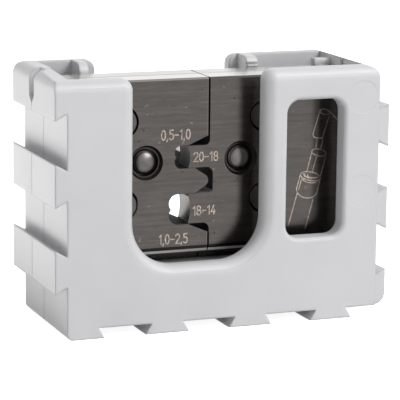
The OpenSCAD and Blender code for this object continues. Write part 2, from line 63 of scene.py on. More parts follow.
# The measuring corner of the holder, from which places on its faces are counted, in millimetres
CORNER_X = -37.35
CORNER_Z = 2.4

# The gap between the dies, the height of the lower nest, and the step between turned rings
SPLIT_X = (36.6 + CORNER_X) * MM
NEST_Z = 26.0 * MM
RING_STEP = 0.62 * MM


def linear(r, g, b):
    """Turns a colour of 0 to 255 per channel, as seen on a screen, into scene values."""
    def one(v):
        v /= 255.0
        return v / 12.92 if v <= 0.04045 else ((v + 0.055) / 1.055) ** 2.4
    return (one(r), one(g), one(b), 1.0)


def scaled(colour, factor):
    """The same colour, darker or lighter by a factor."""
    return tuple(factor * c for c in colour[:3]) + (1.0,)


def math_node(tree, operation, *values):
    """The result of a sum, in which each value is a number or another node's output."""
    node = tree.nodes.new("ShaderNodeMath")
    node.operation = operation
    for socket, value in zip(node.inputs, values):
        if isinstance(value, (int, float)):
            socket.default_value = value
        else:
            tree.links.new(value, socket)
    return node.outputs[0]


# How much of a noise's middle range is stretched to reach from one tone to the other
SOFT = (0.3, 0.7)
CRISP = (0.35, 0.65)

# Between these parts of the normal along Y a surface turns from a wall into a face
WALL_TO_FACE = (0.80, 0.95)


class Nodes:
    """A small helper for building a material's node tree."""

    def __init__(self, name):
        self.material = bpy.data.materials.new(name)
        self.material.use_nodes = True
        self.tree = self.material.node_tree
        self.shader = self.tree.nodes["Principled BSDF"]
        self.place = self.tree.nodes.new("ShaderNodeTexCoord").outputs["Object"]

    def add(self, kind, **settings):
        node = self.tree.nodes.new(kind)
        for key, value in settings.items():
            setattr(node, key, value)
        return node

    def link(self, source, target):
        self.tree.links.new(source, target)

    def math(self, operation, *values):
        return math_node(self.tree, operation, *values)

    def times(self, a, b):
        return self.math("MULTIPLY", a, b)

    def plus(self, a, b):
        return self.math("ADD", a, b)

    def either(self, a, b):
        return self.math("MAXIMUM", a, b)

    def outside(self, mask):
        return self.math("SUBTRACT", 1.0, mask)

    def above(self, value, limit):
        return self.math("GREATER_THAN", value, limit)

    def below(self, value, limit):
        return self.math("LESS_THAN", value, limit)

    def stretched(self, scale):
        node = self.add("ShaderNodeMapping")
        node.inputs["Scale"].default_value = scale
        self.link(self.place, node.inputs["Vector"])
        return node.outputs["Vector"]

    def noise(self, scale, detail=3.0, roughness=0.55, vector=None):
        node = self.add("ShaderNodeTexNoise")
        node.inputs["Scale"].default_value = scale
        node.inputs["Detail"].default_value = detail
        node.inputs["Roughness"].default_value = roughness
        self.link(vector or self.place, node.inputs["Vector"])
        return node.outputs["Fac"]

    def axes(self, source=None):
        node = self.add("ShaderNodeSeparateXYZ")
        self.link(source or self.place, node.inputs[0])
        return node.outputs

    def facing(self):
        """The parts of the flat normal along X, Y and Z."""
        return self.axes(self.add("ShaderNodeNewGeometry").outputs["True Normal"])

    def ranged(self, value, low, high, to_low=0.0, to_high=1.0, smooth=False):
        node = self.add("ShaderNodeMapRange")
        if smooth:
            node.interpolation_type = "SMOOTHSTEP"
        self.link(value, node.inputs["Value"])
        keys = ("From Min", "From Max", "To Min", "To Max")
        for key, number in zip(keys, (low, high, to_low, to_high)):
            node.inputs[key].default_value = number
        return node.outputs["Result"]

    def near(self, value, place, inner, outer):
        """One within the inner distance of a place and nothing beyond the outer one."""
        away = self.math("ABSOLUTE", self.math("SUBTRACT", value, place))
        return self.ranged(away, inner, outer, 1.0, 0.0, smooth=True)

    def walls(self, flat):
        """One where a surface runs along Y, from the size of its normal's part along Y."""
        return self.ranged(flat, *WALL_TO_FACE, 1.0, 0.0)

    def reach(self, x, z, centre_x, centre_z):
        """The distance from an axis that runs along Y."""
        dx = self.math("SUBTRACT", x, centre_x)
        dz = self.math("SUBTRACT", z, centre_z)
        return self.math("SQRT", self.plus(self.times(dx, dx), self.times(dz, dz)))

    def from_stud(self, x, z, stud):
        """The distance from the axis of a lock stud."""
        low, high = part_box(stud)
        return self.reach(x, z, (low.x + high.x) / 2, (low.z + high.z) / 2)

    def turning_wave(self, reach):
        """The wave of turned rings round an axis."""
        return self.math("SINE", self.times(reach, 2 * math.pi / RING_STEP))

    def mix(self, factor, a, b):
        node = self.add("ShaderNodeMix", data_type="RGBA")
        for key, value in ((6, a), (7, b)):
            if isinstance(value, tuple):
                node.inputs[key].default_value = value
            else:
                self.link(value, node.inputs[key])
        if isinstance(factor, (int, float)):
            node.inputs[0].default_value = factor
        else:
            self.link(factor, node.inputs[0])
        return node.outputs[2]

    def bump(self, height, normal=None):
        """Turns a height in metres into a normal."""
        node = self.add("ShaderNodeBump")
        node.inputs["Distance"].default_value = 1.0
        node.inputs["Strength"].default_value = 1.0
        self.link(height, node.inputs["Height"])
        if normal is not None:
            self.link(normal, node.inputs["Normal"])
        return node.outputs["Normal"]

    def soft_edges(self, radius):
        node = self.add("ShaderNodeBevel", samples=6)
        node.inputs["Radius"].default_value = radius
        return node.outputs["Normal"]

    def finish(self, colour, normal, roughness, **constants):
        self.link(colour, self.shader.inputs["Base Color"])
        self.link(normal, self.shader.inputs["Normal"])
        if isinstance(roughness, (int, float)):
            self.shader.inputs["Roughness"].default_value = roughness
        else:
            self.link(roughness, self.shader.inputs["Roughness"])
        for key, value in constants.items():
            self.shader.inputs[key.replace("_", " ")].default_value = value
        return self.material


# Looks of the plastic, and how far its edges are softened
PLASTIC_TONES = (linear(205, 205, 207), linear(210, 210, 212))
PLASTIC_ROUGHNESS = (0.38, 0.46)
GRAIN_DEPTH = 0.003 * MM
RIPPLE_DEPTH = 0.012 * MM
SOFTENED = 0.8 * MM

# The line where the two shells meet: its middle, and how far it is full and where it ends
SEAM_LINE = (SEAM_Y, 0.05 * MM, 0.24 * MM)
SEAM_TONE = linear(128, 128, 132)
SEAM_STRENGTH = 0.36
SEAM_DEPTH = 0.05 * MM

# The two ejector marks, counted from the measuring corner, and the step round each of them
EJECTOR_X = 70.5
EJECTOR_HEIGHTS = (49.0, 27.2)
EJECTOR_STEP = (3.6 * MM, 3.95 * MM, 0.0, 0.05 * MM)
FRONT_WALL = HOLDER_LOW.y + 0.2 * MM


def holder_plastic():
    """Light grey moulded plastic, with a fine grain, a faint seam line and two ejector marks."""
    n = Nodes("holder_plastic")
    x, y, z = n.axes()
    colour = n.mix(n.ranged(n.noise(55.0, 3.0), *SOFT), *PLASTIC_TONES)
    seam = n.near(y, *SEAM_LINE)
    colour = n.mix(n.times(seam, SEAM_STRENGTH), colour, SEAM_TONE)
    height = n.times(n.noise(2600.0, 2.0), GRAIN_DEPTH)
    height = n.plus(height, n.times(n.noise(120.0, 2.0), RIPPLE_DEPTH))
    front = n.below(y, FRONT_WALL)
    for mark_z in EJECTOR_HEIGHTS:
        reach = n.reach(x, z, (EJECTOR_X + CORNER_X) * MM, (mark_z + CORNER_Z) * MM)
        step = n.ranged(reach, *EJECTOR_STEP, smooth=True)
        height = n.plus(height, n.times(step, front))
    height = n.math("SUBTRACT", height, n.times(seam, SEAM_DEPTH))
    roughness = n.ranged(n.noise(900.0, 2.0), *SOFT, *PLASTIC_ROUGHNESS)
    normal = n.bump(height, n.soft_edges(SOFTENED))
    return n.finish(colour, normal, roughness, Specular_IOR_Level=0.5)


# Tones of the dies: oxide on the faces, walls inside painted far darker as shade, and bare ground steel
# outside, with further tones that paint shade, highlights, glints and reflections
OXIDE_DARK = linear(91, 87, 84)
OXIDE_LIGHT = linear(112, 107, 104)
OXIDE_SPECK = linear(150, 143, 138)
# Painted shade: darker oxide on faces set back behind the front faces, such as the floors of the stud
# recesses
OXIDE_RECESS_SHADE = linear(50, 48, 46)
# A painted glint on the set-back faces in the pocket
POCKET_GLINT = linear(130, 126, 122)
# Walls of gaps and nests: black oxide painted far darker than the faces as shade; these tones also darken
# the gap, the line over the low bevel and the crack between the plates
WALL_DARK = linear(30, 28, 27)
WALL_LIGHT = linear(56, 53, 51)
# A painted highlight in the hollows of the upper punches, brighter towards the top
PUNCH_SHEEN_LOW = linear(130, 127, 124)
PUNCH_SHEEN_HIGH = linear(225, 222, 218)
HOLLOW_TONE = linear(150, 147, 143)
GLINT_TONE = linear(190, 187, 183)
# A painted glint on the upward faces in the pocket
SILL_GLINT = linear(170, 167, 163)
GROUND = linear(242, 239, 236)
GROUND_DARK = linear(216, 213, 210)
# The rear plates' tops are painted darker as a reflection of the dark rear wall
GROUND_REAR_REFLECTED = linear(225, 222, 219)
GROUND_REAR_REFLECTED_DARK = linear(195, 192, 189)
JOINT_TONE = linear(120, 117, 114)
CHAMFER_NEST = linear(140, 136, 133)
# The anvil die's chamfer is painted darker than the nest die's as shade
CHAMFER_ANVIL_SHADED = linear(92, 88, 86)
EDGE_TONE = linear(86, 82, 80)
# The dark part of the low bevel, a painted reflection
BEVEL_DARK_REFLECTION = linear(60, 57, 55)

# How far the bare steel reaches from the top, the foot and the ends of the front plates
BARE_TOP = 1.2 * MM
BARE_LOW = 1.3 * MM
BARE_END = 0.8 * MM

# The straight parts of the gap, down from the top and up from the foot
GAP_UPPER = 14.6 * MM
GAP_LOWER = 4.6 * MM

# Just behind the front faces, and just before and behind the joint of the plates
BEHIND_FACE = FACE_Y + 0.05 * MM
FRONT_PLATES = SPLIT_Y - 0.3 * MM
REAR_PLATES = SPLIT_Y + 0.3 * MM

# Lines on the dies: where the middle lies, and how far from it they are full and where they end
# The faces beside the gap between the dies are painted dark as shade
GAP_LINE = (SPLIT_X, 0.19 * MM, 0.27 * MM)
# A painted highlight along the rounded edge of the nest die beside the gap
LIP_HIGHLIGHT_LINE = (SPLIT_X - 0.38 * MM, 0.02 * MM, 0.12 * MM)
# A dark line on the face over the low bevel, painted as a reflection
RIM_REFLECTION_LINE = (DIE_LOW + 1.45 * MM, 0.28 * MM, 0.46 * MM)
JOINT_LINE = (SPLIT_Y, 0.3 * MM, 1.0 * MM)
CRACK_LINE = (SPLIT_Y, 0.1 * MM, 0.24 * MM)
EDGE_HEIGHT = (DIE_TOP, 0.02 * MM, 0.1 * MM)
EDGE_DEPTH = (FACE_Y + 0.45 * MM, 0.05 * MM, 0.12 * MM)
# Painted reflection on the low bevel: dark, apart from a bright line that keeps the bare steel tone
SHINE_LINE = (DIE_LOW + 0.68 * MM, 0.3 * MM, 0.4 * MM)

# Parts of the nests and of the pocket, given in the same way
LOWER_NEST = (NEST_Z, 2.6 * MM, 3.4 * MM)
UPPER_NEST = (NEST_Z + 12.0 * MM, 2.2 * MM, 3.0 * MM)
UPPER_PUNCH = (SPLIT_X - 4.6 * MM, 2.8 * MM, 3.2 * MM)
GLINT = (NEST_Z + 13.0 * MM, 0.9 * MM, 1.5 * MM)
POCKET_WIDTH = (SPLIT_X - 0.5 * MM, 3.0 * MM, 3.4 * MM)
POCKET_HEIGHT = (NEST_Z + 6.3 * MM, 3.6 * MM, 4.0 * MM)
# Where the painted highlight in the punches starts to brighten and where it is brightest
SHEEN_FROM = NEST_Z + 10.0 * MM
SHEEN_TO = NEST_Z + 14.0 * MM

# How strongly lines show, with two values where the anvil die differs from the nest die
LIP_HIGHLIGHT_STRENGTH = 0.3
RIM_REFLECTION_STRENGTH = 0.9
EDGE_STRENGTH = 0.8
JOINT_STRENGTH = (0.2, 0.4)
CRACK_STRENGTH = (0.4, 1.0)

# How far the oxide is darkened in clouds and pits
CLOUD_SHADE = 0.85
PIT_SHADE = 0.3

# Noise that fades in: the range where it does so, and its strength at both ends
CLOUD_FADE = (0.35, 0.7, 0.0, 0.3)
SPECK_FADE = (0.73, 0.79, 0.0, 0.6)
PIT_FADE = (0.275, 0.225, 0.0, 0.7)
FLOOR_RINGS = (0.2, 1.0, 0.0, 0.5)

# Noise of the dies, as its scale along X, Y and Z, with the share of each kind of line and the depths
FINE_LINES = (260.0, 900.0, 5200.0)
WIDE_LINES = (40.0, 300.0, 1500.0)
PITS = (1.0, 1.0, 1.3)
STREAKS = (60.0, 2600.0, 2600.0)
FINE_SHARE = 0.55
WIDE_SHARE = 0.45
GRIND_DEPTH = 0.0012 * MM
STREAK_DEPTH = 0.004 * MM

# Roughness of the dies, with what is added on bare steel and deep between walls
OXIDE_ROUGHNESS = (0.15, 0.2)
BARE_ROUGHER = 0.03
WALL_ROUGHER = 0.5

# The part of the normal along an axis from which a surface leans, slants or faces that way
LEANING = 0.3
SLANTING = 0.5
FACING = 0.8

# The lock studs, where their lighter tops end and the painted shade on their sloping sides begins, and
# their outer edge
STUDS = ("nest_lock_stud", "anvil_lock_stud")
STUD_TOP = (1.7 * MM, 2.3 * MM)
STUD_EDGE = 4.0 * MM


class DieSteel(Nodes):
    """Black oxide on the faces, walls inside painted dark as shade, and bare ground steel on tops, feet and
    ends, with painted shade, highlights, glints and reflections in places.
    """

    def __init__(self):
        super().__init__("die_steel")
        self.x, self.y, self.z = self.axes()
        self.nx, self.ny, self.nz = self.facing()
        self.flat = self.math("ABSOLUTE", self.ny)
        fine = self.noise(1.0, 2.0, 0.6, self.stretched(FINE_LINES))
        wide = self.noise(1.0, 2.0, 0.5, self.stretched(WIDE_LINES))
        self.grind = self.plus(self.times(fine, FINE_SHARE), self.times(wide, WIDE_SHARE))
        self.cloud = self.noise(160.0, 4.0)
        self.streaks = self.noise(1.0, 3.0, 0.6, self.stretched(STREAKS))
        self.wall = self.walls(self.flat)
        self.outer = self.outer_places()
        self.bare = self.times(self.wall, self.outer)
        self.frontal = self.below(self.ny, -SLANTING)
        self.deep = self.times(self.above(self.y, BEHIND_FACE), self.frontal)
        self.pocket = self.times(self.near(self.x, *POCKET_WIDTH), self.near(self.z, *POCKET_HEIGHT))
        self.left = self.below(self.nx, -LEANING)
        behind = self.times(self.left, self.above(self.y, REAR_PLATES))
        self.glint = self.times(behind, self.near(self.z, *GLINT))
        self.polished = self.either(self.times(self.left, self.near(self.z, *LOWER_NEST)), self.glint)

    def outer_places(self):
        """One at the top, the foot and the ends, apart from the upright walls of gaps."""
        top = self.above(self.z, DIE_TOP - BARE_TOP)
        foot = self.below(self.z, DIE_LOW + BARE_LOW)
        upright = self.above(self.math("ABSOLUTE", self.nx), FACING)
        level = self.times(self.either(top, foot), self.outside(upright))
        left_end = self.below(self.x, DIE_LEFT + BARE_END)
        right_end = self.above(self.x, DIE_RIGHT - BARE_END)
        return self.either(level, self.either(left_end, right_end))

    def oxide(self):
        """Black oxide with fine lines along X, clouds, light specks and small pits."""
        tone = self.mix(self.ranged(self.grind, *CRISP), OXIDE_DARK, OXIDE_LIGHT)
        tone = self.mix(self.ranged(self.cloud, *CLOUD_FADE), tone, scaled(OXIDE_DARK, CLOUD_SHADE))
        specks = self.noise(900.0, 1.0)
        tone = self.mix(self.ranged(specks, *SPECK_FADE), tone, OXIDE_SPECK)
        pits = self.noise(700.0, 1.0, 0.5, self.stretched(PITS))
        return self.mix(self.ranged(pits, *PIT_FADE), tone, scaled(OXIDE_DARK, PIT_SHADE))

    def face_lines(self, tone):
        """The gap between the dies painted dark as shade, a painted highlight on the lip beside it, and a
        dark line over the low bevel painted as a reflection.
        """
        upper = self.above(self.z, DIE_TOP - GAP_UPPER)
        lower = self.below(self.z, DIE_LOW + GAP_LOWER)
        straight = self.either(upper, lower)
        # Painted highlight on the lip beside the gap
        lip = self.times(self.near(self.x, *LIP_HIGHLIGHT_LINE), straight)
        tone = self.mix(self.times(lip, LIP_HIGHLIGHT_STRENGTH), tone, OXIDE_SPECK)
        # Painted shade: the faces beside the gap take the dark tone of the walls
        gap = self.times(self.near(self.x, *GAP_LINE), straight)
        tone = self.mix(gap, tone, WALL_DARK)
        # Painted reflection: a dark line on the face over the low bevel
        rim = self.times(self.near(self.z, *RIM_REFLECTION_LINE), self.frontal)
        return self.mix(self.times(rim, RIM_REFLECTION_STRENGTH), tone, WALL_DARK)

    def recess_floor(self):
        """The turned rings on the floors of the recesses round the studs, over oxide painted darker as
        shade on every face set back behind the front faces.
        """
        tone = OXIDE_RECESS_SHADE
        for stud in STUDS:
            wave = self.turning_wave(self.from_stud(self.x, self.z, stud))
            tone = self.mix(self.ranged(wave, *FLOOR_RINGS), tone, OXIDE_DARK)
        return tone

    def inner_wall(self):
        """Walls of gaps and nests painted nearly black as shade, with a painted highlight in the hollows of
        the punches, lighter polished walls in the lower nest, and painted glints behind the nests and in
        the pocket.
        """
        # Painted shade: the walls are made far darker than the oxide of the faces
        tone = self.mix(self.ranged(self.cloud, *SOFT), WALL_DARK, WALL_LIGHT)
        punch = self.times(self.left, self.near(self.z, *UPPER_NEST))
        punch = self.times(punch, self.near(self.x, *UPPER_PUNCH))
        punch = self.times(punch, self.below(self.y, FRONT_PLATES))
        # Painted highlight in the punch hollows, brighter towards the top
        punch_sheen = self.mix(self.ranged(self.z, SHEEN_FROM, SHEEN_TO), PUNCH_SHEEN_LOW, PUNCH_SHEEN_HIGH)
        tone = self.mix(punch, tone, punch_sheen)
        tone = self.mix(self.polished, tone, HOLLOW_TONE)
        tone = self.mix(self.glint, tone, GLINT_TONE)
        # Painted glint on the upward faces in the pocket
        sill = self.times(self.pocket, self.above(self.nz, LEANING))
        return self.mix(sill, tone, SILL_GLINT)

    def ground_steel(self):
        """Bare ground steel with streaks, the rear plates' tops painted darker as a reflection of the dark
        rear wall, the joint of the plates, the chamfers with the anvil die's painted darker as shade, and
        the low bevel painted dark as a reflection apart from a bright line.
        """
        grain = self.ranged(self.streaks, *CRISP)
        tone = self.mix(grain, GROUND_DARK, GROUND)
        # Painted reflection: the rear plates' tops darker
        rear = self.mix(grain, GROUND_REAR_REFLECTED_DARK, GROUND_REAR_REFLECTED)
        tone = self.mix(self.above(self.y, SPLIT_Y), tone, rear)
        on_nest = self.below(self.x, SPLIT_X)
        strength = self.ranged(on_nest, 0.0, 1.0, *JOINT_STRENGTH)
        tone = self.mix(self.times(self.near(self.y, *JOINT_LINE), strength), tone, JOINT_TONE)
        strength = self.ranged(on_nest, 0.0, 1.0, *CRACK_STRENGTH)
        tone = self.mix(self.times(self.near(self.y, *CRACK_LINE), strength), tone, WALL_LIGHT)
        slanted = self.above(self.flat, SLANTING)
        chamfer = self.times(slanted, self.above(self.nz, SLANTING))
        # Painted shade: the anvil die's chamfer darker than the nest die's
        tone = self.mix(chamfer, tone, self.mix(on_nest, CHAMFER_ANVIL_SHADED, CHAMFER_NEST))
        edge = self.times(self.near(self.z, *EDGE_HEIGHT), self.near(self.y, *EDGE_DEPTH))
        tone = self.mix(self.times(edge, EDGE_STRENGTH), tone, EDGE_TONE)
        # Painted reflection on the low bevel: dark, with a bright line left in the bare steel tone
        bevel = self.times(slanted, self.below(self.nz, -SLANTING))
        bevel = self.times(bevel, self.outside(self.near(self.z, *SHINE_LINE)))
        return self.mix(bevel, tone, BEVEL_DARK_REFLECTION)

    def roughness(self):
        """Smooth oxide, slightly rougher bare steel and rough walls."""
        rough = self.ranged(self.cloud, *SOFT, *OXIDE_ROUGHNESS)
        rough = self.plus(rough, self.times(self.bare, BARE_ROUGHER))
        buried = self.times(self.wall, self.outside(self.either(self.outer, self.polished)))
        return self.plus(rough, self.times(buried, WALL_ROUGHER))

    def made(self):
        """Lays the parts over one another and gives the material."""
        colour = self.face_lines(self.oxide())
        # Painted shade on faces set back behind the front faces, with turned rings round the studs
        colour = self.mix(self.deep, colour, self.recess_floor())
        # Painted glint on the set-back faces in the pocket
        colour = self.mix(self.times(self.pocket, self.deep), colour, POCKET_GLINT)
        colour = self.mix(self.wall, colour, self.inner_wall())
        colour = self.mix(self.bare, colour, self.ground_steel())
        height = self.times(self.grind, GRIND_DEPTH)
        height = self.plus(height, self.times(self.times(self.streaks, self.bare), STREAK_DEPTH))
        return self.finish(colour, self.bump(height), self.roughness(), Metallic=1.0)


# Looks of the dowels, the studs and the marks
PIN_TONES = (linear(92, 88, 86), linear(106, 102, 99))
PIN_ROUGHNESS = (0.16, 0.22)
PIN_CHAMFER = linear(40, 38, 37)
STUD_TONES = (linear(106, 103, 101), linear(132, 128, 125))
STUD_ROUGHNESS = (0.32, 0.40)
# Darker tones of the studs' sloping sides: painted shade, with turned rings
STUD_SHADED_RINGS = (linear(66, 63, 61), linear(112, 108, 105))
RING_CRESTS = (0.2, 1.0)
HARD_GRAIN_DEPTH = 0.002 * MM
MARK_TONES = (linear(160, 145, 135), linear(203, 189, 179))
MARK_ROUGHNESS = 0.24
MARK_METAL = 0.92
MARK_GRAIN_DEPTH = 0.003 * MM


def hardened_steel(name, tones, roughness, shade):
    """Smooth steel with faint clouds, whose colour is finished by the function that is given."""
    n = Nodes(name)
    cloud = n.noise(420.0, 3.0)
    colour = shade(n, n.mix(n.ranged(cloud, *SOFT), *tones))
    height = n.times(n.noise(3000.0, 2.0), HARD_GRAIN_DEPTH)
    return n.finish(colour, n.bump(height), n.ranged(cloud, *SOFT, *roughness), Metallic=1.0)


def dark_chamfers(n, colour):
    """A dark rim round the end of each dowel."""
    flat = n.math("ABSOLUTE", n.facing()[1])
    return n.mix(n.walls(flat), colour, PIN_CHAMFER)


def shaded_rings(n, colour):
    """Turned rings on the sloping side round the top of each stud, darkened as painted shade."""
    x, _, z = n.axes()
    for stud in STUDS:
        reach = n.from_stud(x, z, stud)
        # Painted shade on the stud's sloping side, with turned rings
        side = n.times(n.ranged(reach, *STUD_TOP), n.below(reach, STUD_EDGE))
        rings = n.mix(n.ranged(n.turning_wave(reach), *RING_CRESTS), *STUD_SHADED_RINGS)
        colour = n.mix(side, colour, rings)
    return colour


def mark_paint():
    """The pale, slightly rough tone of marks burnt into the oxide."""
    n = Nodes("mark_paint")
    colour = n.mix(n.ranged(n.noise(1800.0, 3.0), *CRISP), *MARK_TONES)
    height = n.times(n.noise(4000.0), MARK_GRAIN_DEPTH)
    return n.finish(colour, n.bump(height), MARK_ROUGHNESS, Metallic=MARK_METAL)


PLASTIC = holder_plastic()
STEEL = DieSteel().made()
PIN = hardened_steel("pin_steel", PIN_TONES, PIN_ROUGHNESS, dark_chamfers)
STUD = hardened_steel("stud_steel", STUD_TONES, STUD_ROUGHNESS, shaded_rings)
MARK = mark_paint()

# The material for each last word of a node's name
FINISHES = {"shell": PLASTIC, "pins": PIN, "stud": STUD, "plate": STEEL}


def dress_nodes():
    """Gives each node the one material that its name asks for."""
    for name, obj in nodes.items():
        obj.data.materials.clear()
        obj.data.materials.append(FINISHES[name.split("_")[-1]])


def arc(cx, cy, rx, ry, start, end, steps=14):
    """Points on an ellipse, from one angle to another, in degrees."""
    angles = [math.radians(start + (end - start) * i / steps) for i in range(steps + 1)]
    return [(cx + rx * math.cos(a), cy + ry * math.sin(a)) for a in angles]


# The grid of the plain stroke font, with the widths of its narrow signs and the space between signs
SIGN_HEIGHT = 7.0
SIGN_WIDTH = 4.0
NARROW = {",": 1.2, "1": 2.5, "-": 3.6}
SPACING = 1.0


def signs():
    """Each sign as a list of lines, counted from its lower left corner."""
    return {
        "0": [arc(2, 3.5, 1.75, 3.5, 90, 450, 28)],
        "1": [[(0.4, 5.5), (1.9, 7), (1.9, 0)]],
        "2": [arc(2, 5.1, 1.8, 1.9, 165, -35) + [(0.25, 0), (3.9, 0)]],
        "4": [[(3.9, 1.9), (0.2, 1.9), (2.5, 7)], [(2.8, 3.7), (2.8, 0)]],
        "5": [[(3.6, 7), (0.8, 7), (0.55, 4)] + arc(1.9, 2.25, 1.9, 2.25, 128, -145)],
        "8": [arc(2, 5.3, 1.5, 1.7, 90, 450, 24), arc(2, 1.85, 1.8, 1.85, 90, 450, 24)],
        "-": [[(0.2, 3.3), (3.4, 3.3)]],
        ",": [[(0.8, 0.5), (0.2, -1.2)]],
    }


class Marks:
    """Raised strokes of a hair's thickness with round ends, lying on a die's face."""

    LIFT = 0.02 * MM
    STEP = 0.003 * MM
    LEVELS = 4
    CLOSED = 1e-7
    MITRE_LIMIT = 0.6
    CAP_ANGLES = (60, 30, 0, -30, -60)

    def __init__(self, name, body, half_width):
        self.mesh = bmesh.new()
        self.name = name
        self.body = body
        self.half = half_width
        self.count = 0

    def prism(self, rings, cells):
        """Closes a flat pattern of cells, with its edge rings, into a thin solid."""
        front = FACE_Y - self.LIFT - self.STEP * (self.count % self.LEVELS)
        levels = (front, FACE_Y)
        self.count += 1
        made = {}

        def vertex(p, level):
            key = (round(p[0], 9), round(p[1], 9), level)
            if key not in made:
                made[key] = self.mesh.verts.new((p[0], levels[level], p[1]))
            return made[key]

        for cell in cells:
            for level in (0, 1):
                self.mesh.faces.new([vertex(p, level) for p in cell])
        for ring in rings:
            for a, b in zip(ring, ring[1:] + ring[:1]):
                self.mesh.faces.new([vertex(a, 0), vertex(b, 0), vertex(b, 1), vertex(a, 1)])

    def stroke(self, line):
        """Adds one line of points, with round ends unless it closes on itself."""
        line = [Vector(p) for p in line]
        closed = (line[0] - line[-1]).length < self.CLOSED
        if closed:
            line = line[:-1]
        count = len(line)
        sides = []
        for i, here in enumerate(line):
            before = line[i - 1] if closed or i > 0 else here
            after = line[(i + 1) % count] if closed or i < count - 1 else here
            a = (here - before).normalized() if before != here else (after - here).normalized()
            b = (after - here).normalized() if after != here else a
            across = Vector((-(a + b).y, (a + b).x)).normalized()
            width = self.half / max(self.MITRE_LIMIT, across.dot(Vector((-a.y, a.x))))
            sides.append((here + across * width, here - across * width))
        left = [tuple(s[0]) for s in sides]
        right = [tuple(s[1]) for s in sides]
        pairs = list(zip(range(count), list(range(1, count)) + ([0] if closed else [])))
        cells = [(left[i], right[i], right[j], left[j]) for i, j in pairs]
        if closed:
            self.prism([left, right[::-1]], cells)
            return
        start_cap = self.cap(line[0], line[0] - line[1])
        end_cap = self.cap(line[-1], line[-1] - line[-2])
        cells.append([right[0]] + start_cap + [left[0]])
        cells.append([left[-1]] + end_cap + [right[-1]])
        self.prism([left + end_cap + right[::-1] + start_cap], cells)

    def cap(self, tip, ahead):
        """The points of a round end."""
        turn = math.atan2(ahead.y, ahead.x)
        angles = [turn + math.radians(t) for t in self.CAP_ANGLES]
        return [tuple(tip + self.half * Vector((math.cos(a), math.sin(a)))) for a in angles]

    def write(self, text, origin, height, width):
        """Writes numbers from the lower left corner, with the height and width of the whole text."""
        table = signs()
        total = sum(NARROW.get(c, SIGN_WIDTH) for c in text) + SPACING * (len(text) - 1)
        sx, sy = width / total, height / SIGN_HEIGHT
        pen = 0.0
        for c in text:
            for line in table[c]:
                self.stroke([(origin[0] + (pen + px) * sx, origin[1] + py * sy) for px, py in line])
            pen += NARROW.get(c, SIGN_WIDTH) + SPACING

    def finish(self):
        """Makes the strokes one piece that moves with its body."""
        data = bpy.data.meshes.new(self.name)
        bmesh.ops.recalc_face_normals(self.mesh, faces=self.mesh.faces)
        self.mesh.to_mesh(data)
        self.mesh.free()
        obj = bpy.data.objects.new(self.name, data)
        bpy.context.scene.collection.objects.link(obj)
        data.materials.append(MARK)
        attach(obj, self.body)


# Half the width of a stroke, and the foot and slant of the drawing's middle line
MARK_HALF_WIDTH = 0.145 * MM
DRAWING_HALF_WIDTH = 0.125 * MM
DRAWING_FOOT = (58.64, 17.76)
DRAWING_SLANT = (0.2406, 0.9706)


def face(x, z):
    """A place on the die's face, given in millimetres from the holder's measuring corner."""
    return ((x + CORNER_X) * MM, (z + CORNER_Z) * MM)


def size_marks():
    """Plain pairs of numbers beside the nests."""
    nest = Marks("nest_size_marks", "nest_die", MARK_HALF_WIDTH)
    nest.write("0,5-1,0", face(25.05, 39.85), height=2.15 * MM, width=7.0 * MM)
    nest.write("1,0-2,5", face(24.65, 15.85), height=2.15 * MM, width=6.9 * MM)
    anvil = Marks("anvil_size_marks", "anvil_die", MARK_HALF_WIDTH)
    anvil.write("20-18", face(32.9, 34.55), height=2.05 * MM, width=5.9 * MM)
    anvil.write("18-14", face(32.8, 22.15), height=2.05 * MM, width=5.5 * MM)
    nest.finish()
    anvil.finish()


def terminal_drawing():
    """A plain line drawing of a wire in its terminal, slanting up across the window."""
    foot = Vector(face(*DRAWING_FOOT))
    along = Vector(DRAWING_SLANT)
    across = Vector((along.y, -along.x))
    lines = [
        [(-2.2, 0.0), (-1.95, 7.9)],
        [(2.2, 0.0), (2.35, 7.3)],
        [(-2.3, 11.9), (-2.4, 8.9)] + arc(0.25, 8.9, 2.65, 1.85, 180, 360) + [(2.85, 12.2)],
        arc(0.3, 12.2, 2.6, 1.0, 90, 450, 24),
        arc(0.3, 11.7, 2.2, 1.0, 200, 330),
        arc(0.3, 12.7, 2.1, 0.8, 200, 340),
        arc(0.1, 12.25, 1.5, 0.55, 150, 300, 10),
        arc(0.5, 12.35, 1.0, 0.4, 170, 330, 8),
        [(-1.75, 11.2), (-1.8, 8.6)],
        [(-0.9, 13.3), (-0.85, 18.0)],
        [(0.5, 13.4), (0.6, 17.6)],
        [(2.75, 12.6), (2.85, 17.2)],
        arc(0.95, 18.0, 1.85, 0.8, 90, 450, 24),
        [(-0.15, 19.0), (-0.3, 20.8)],
        [(1.15, 19.1), (1.15, 20.9)],
        [(-1.35, 27.3), (-1.65, 22.3)] + arc(-0.75, 22.0, 0.9, 0.8, 180, 270) + [(0.9, 21.4), (1.25, 26.9)],
        arc(-0.05, 27.5, 1.3, 0.6, 90, 450, 20),
        [(1.35, 27.7), (3.4, 26.4)],
    ]
    marks = Marks("terminal_drawing", "anvil_die", DRAWING_HALF_WIDTH)
    for line in lines:
        marks.stroke([foot + (across * t + along * s) * MM for t, s in line])
    marks.finish()


# The floor's half width in metres, its tone and added glow, and the light of the surroundings
FLOOR_SIZE = 3.0
FLOOR_WHITE = 0.82
FLOOR_GLOW = 0.86
FILL = 0.38


def mixed_shader(tree, factor, first, second):
    """The first shader where the factor is nothing and the second where it is one."""
    node = tree.nodes.new("ShaderNodeMixShader")
    for socket, value in zip(node.inputs, (factor, first, second)):
        tree.links.new(value, socket)
    return node.outputs[0]


